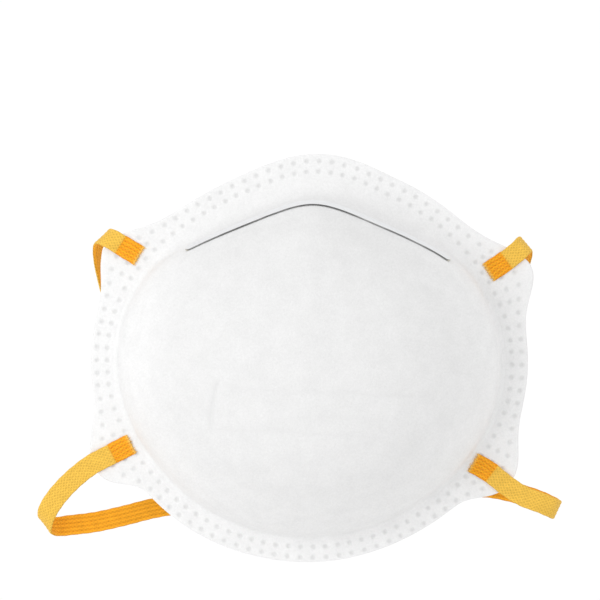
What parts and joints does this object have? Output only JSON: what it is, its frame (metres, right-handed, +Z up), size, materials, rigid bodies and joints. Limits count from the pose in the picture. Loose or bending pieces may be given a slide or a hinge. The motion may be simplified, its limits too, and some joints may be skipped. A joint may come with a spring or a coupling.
{
  "type": "disposable dust mask",
  "caption": "Moulded cup dust mask with a welded flange, a bendable metal nose clip, an inner nose foam and elastic head straps that swing behind it.",
  "frame": {"origin": "centre of the rim opening, on the flat back plane of the welded flange, where the mask seals to a face", "axes": "+X to the right as seen from the front, +Y towards the wearer, +Z up towards the nose; the dome points to -Y"},
  "size_m": [0.1592, 0.0994, 0.1242],
  "materials": {
    "spunbond_cover": "matte white spunbond nonwoven",
    "moulded_felt": "matte thermoformed needle felt",
    "meltblown_filter": "matte, very fine meltblown web",
    "soft_lining": "soft brushed nonwoven",
    "clip_metal": "bright rolled strip",
    "hot_melt": "translucent hot-melt glue",
    "nose_cushion": "open-cell foam",
    "elastic": "woven yellow-orange elastic with lengthwise ribs"
  },
  "bodies": {
    "mask": {"outer_cover": "spunbond_cover", "support_shell": "moulded_felt", "filter_layer_outer": "meltblown_filter", "filter_layer_inner": "meltblown_filter", "inner_lining": "soft_lining", "nose_clip": "clip_metal", "nose_clip_adhesive": "hot_melt", "nose_foam": "nose_cushion", "nose_foam_adhesive": "hot_melt", "upper_strap_end_left": "elastic", "upper_strap_end_right": "elastic", "lower_strap_end_left": "elastic", "lower_strap_end_right": "elastic"},
    "upper_strap": {"upper_strap_loop": "elastic"},
    "lower_strap": {"lower_strap_loop": "elastic"}
  },
  "joints": [
    {"name": "upper_strap_swing", "type": "hinge", "parent": "mask", "child": "upper_strap", "pos_m": [0, 0.0062, 0.0356], "axis": [0.9995, 0, 0.0307], "range_deg": [-35, 95], "stiffness_Nm_per_rad": 0.003, "springref_deg": 2.29},
    {"name": "lower_strap_swing", "type": "hinge", "parent": "mask", "child": "lower_strap", "pos_m": [0.0001, 0.0046, -0.04755], "axis": [0.9973, 0, 0.0738], "range_deg": [-55, 60], "stiffness_Nm_per_rad": 0.003, "springref_deg": 0.57}
  ]
}
